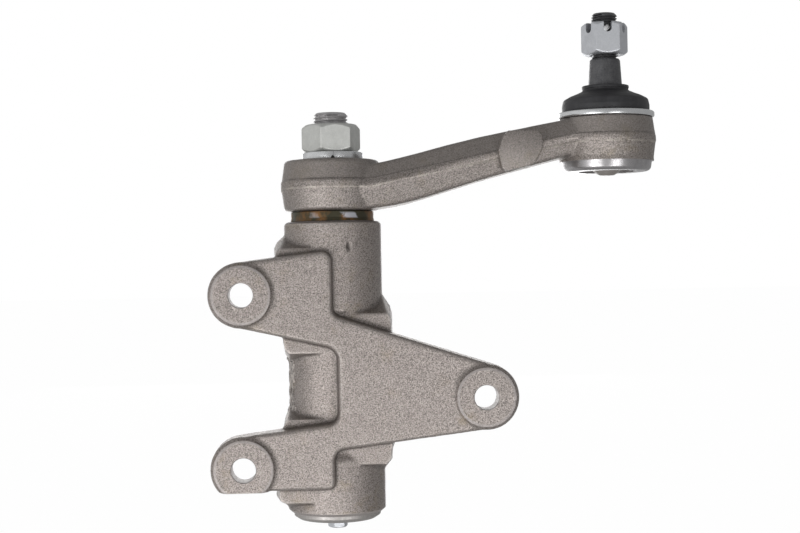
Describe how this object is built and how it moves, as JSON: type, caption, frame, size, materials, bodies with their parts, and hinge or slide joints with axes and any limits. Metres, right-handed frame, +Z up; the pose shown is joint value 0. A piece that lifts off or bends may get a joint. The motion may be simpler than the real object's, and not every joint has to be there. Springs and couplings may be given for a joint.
{
  "type": "steering idler arm",
  "caption": "Steering idler arm: a lugged iron bracket holds a greased shaft, whose cranked arm carries a booted ball stud with a castle nut for the relay rod.",
  "frame": {"origin": "on the shaft's swing axis, at the lower face of the end cap, where the grease plug screws in", "axes": "+Z up the swing axis towards the arm, +X from the shaft to the ball joint, the three bolt seats face -Y"},
  "size_m": [0.208, 0.0534, 0.2365],
  "materials": {
    "blasted_iron": "shot-blasted, bare, lightly oiled",
    "blasted_steel": "forged and shot-blasted, bare, lightly oiled",
    "bright_zinc": "bright zinc plate",
    "yellow_zinc": "yellow passivated zinc, greasy",
    "cap_steel": "turned and plated steel, dull",
    "cover_steel": "plated steel, dull",
    "ground_steel": "ground bearing surface, dark at the thread",
    "thrust_steel": "turned and hardened",
    "dark_steel": "dark phosphate, satin",
    "spring_steel": "tempered spring steel",
    "bush_bronze": "bored bronze, greased",
    "seat_resin": "moulded acetal resin",
    "seal_rubber": "nitrile rubber",
    "boot_rubber": "moulded rubber, satin"
  },
  "bodies": {
    "bracket_side": {"bracket": "blasted_iron", "upper_bush": "bush_bronze", "lower_bush": "bush_bronze", "upper_thrust_ring": "thrust_steel", "lower_thrust_washer": "bush_bronze", "seal_shell": "yellow_zinc", "seal_lip": "seal_rubber", "end_cap": "cap_steel", "cap_o_ring": "seal_rubber", "grease_plug": "bright_zinc"},
    "arm_side": {"idler_shaft": "ground_steel", "arm": "blasted_steel", "spring_washer": "bright_zinc", "shaft_nut": "bright_zinc", "upper_ball_seat": "seat_resin", "pressure_cup": "seat_resin", "disc_spring": "spring_steel", "cover_plate": "cover_steel", "boot_ring": "bright_zinc"},
    "boot": {"dust_boot": "boot_rubber"},
    "stud_collar": {"boot_neck_ring": "spring_steel"},
    "stud": {"ball_stud": "dark_steel", "castle_nut": "bright_zinc"}
  },
  "joints": [
    {"name": "arm_swing", "type": "hinge", "parent": "bracket_side", "child": "arm_side", "pos_m": [0, 0, 0.15], "axis": [0, 0, 1], "continuous": true},
    {"name": "tilt_direction", "type": "hinge", "parent": "arm_side", "child": "boot", "pos_m": [0.1286, 0, 0.1747], "axis": [0, 0, 1], "continuous": true},
    {"name": "stud_tilt", "type": "hinge", "parent": "boot", "child": "stud_collar", "pos_m": [0.1286, 0, 0.1747], "axis": [0, 1, 0], "range_deg": [-24, 24], "deforming": ["dust_boot"]},
    {"name": "stud_spin", "type": "hinge", "parent": "stud_collar", "child": "stud", "pos_m": [0.1286, 0, 0.1747], "axis": [0, 0, 1], "continuous": true}
  ]
}
